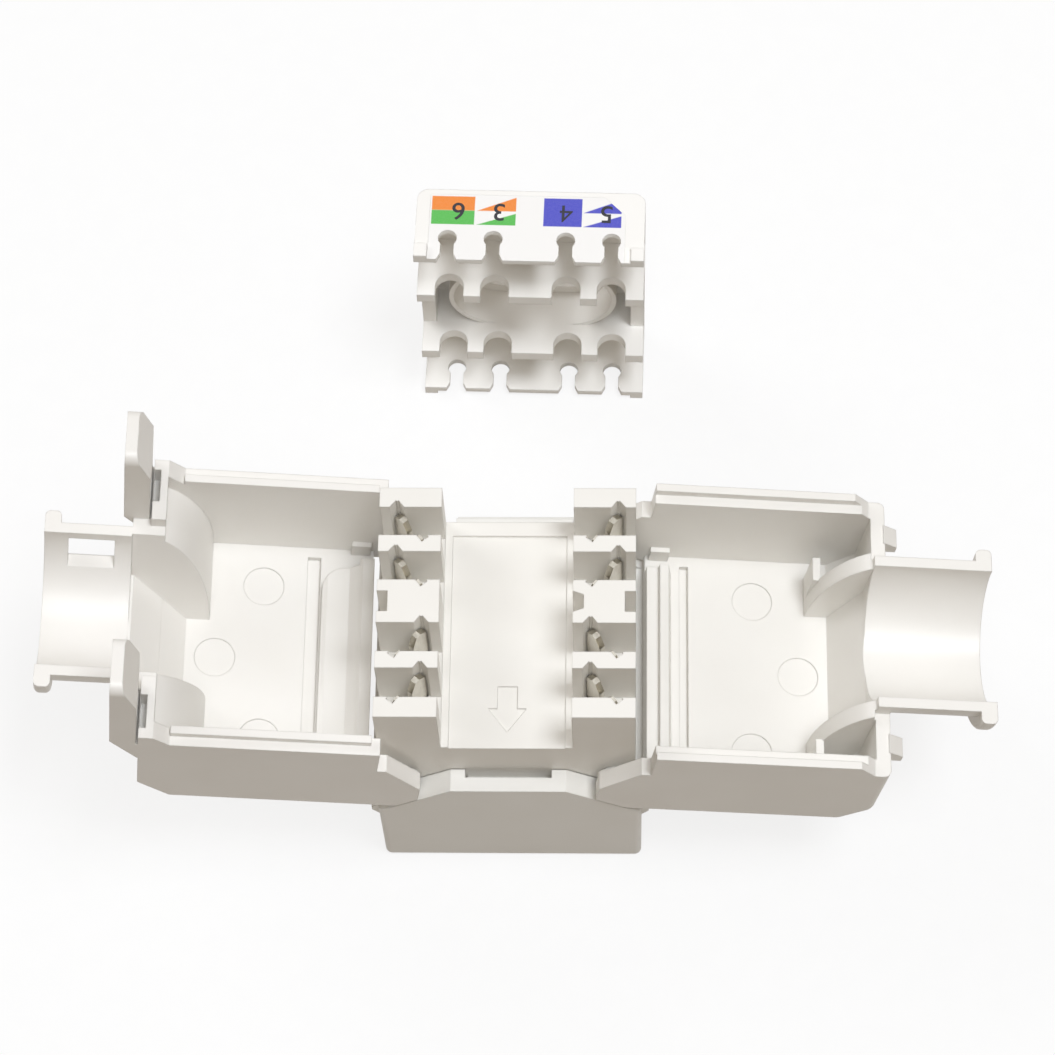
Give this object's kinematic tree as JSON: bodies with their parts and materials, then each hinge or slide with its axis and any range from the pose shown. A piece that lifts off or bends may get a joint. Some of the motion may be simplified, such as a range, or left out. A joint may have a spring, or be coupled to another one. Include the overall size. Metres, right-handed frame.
{
  "type": "keystone jack",
  "caption": "Tool-free keystone jack with hinged cable covers laid open, slotted terminal towers and a colour-labelled wire manager beside it.",
  "frame": {"origin": "centre of the port face, on the floor", "axes": "+Z the way the cable leaves, the port opens towards -Z; +Y from the plug's tab side to the panel latch; +X to the right cover"},
  "size_m": [0.0529, 0.0358, 0.0257],
  "materials": {
    "white_plastic": "moulded white plastic",
    "grey_plastic": "moulded grey plastic",
    "board": "solder resist",
    "blade_metal": "tin plated",
    "contact_metal": "gold plated",
    "label": "printed film"
  },
  "bodies": {
    "jack": {"port_housing": "white_plastic", "terminal_block": "white_plastic", "circuit_board": "board", "contact_carrier": "grey_plastic", "terminal_blade_1": "blade_metal", "terminal_blade_2": "blade_metal", "terminal_blade_3": "blade_metal", "terminal_blade_4": "blade_metal", "terminal_blade_5": "blade_metal", "terminal_blade_6": "blade_metal", "terminal_blade_7": "blade_metal", "terminal_blade_8": "blade_metal", "port_contact_1": "contact_metal", "port_contact_2": "contact_metal", "port_contact_3": "contact_metal", "port_contact_4": "contact_metal", "port_contact_5": "contact_metal", "port_contact_6": "contact_metal", "port_contact_7": "contact_metal", "port_contact_8": "contact_metal", "wire_manager": "white_plastic", "upper_label": "label", "lower_label": "label"},
    "left_cover": {"left_cover": "white_plastic"},
    "right_cover": {"right_cover": "white_plastic"}
  },
  "joints": [
    {"name": "left_cover_hinge", "type": "hinge", "parent": "jack", "child": "left_cover", "pos_m": [-0.0059, 0, 0.0105], "axis": [0, 1, 0], "range_deg": [0, 82.5]},
    {"name": "right_cover_hinge", "type": "hinge", "parent": "jack", "child": "right_cover", "pos_m": [0.0059, 0, 0.0105], "axis": [0, -1, 0], "range_deg": [0, 97]}
  ]
}
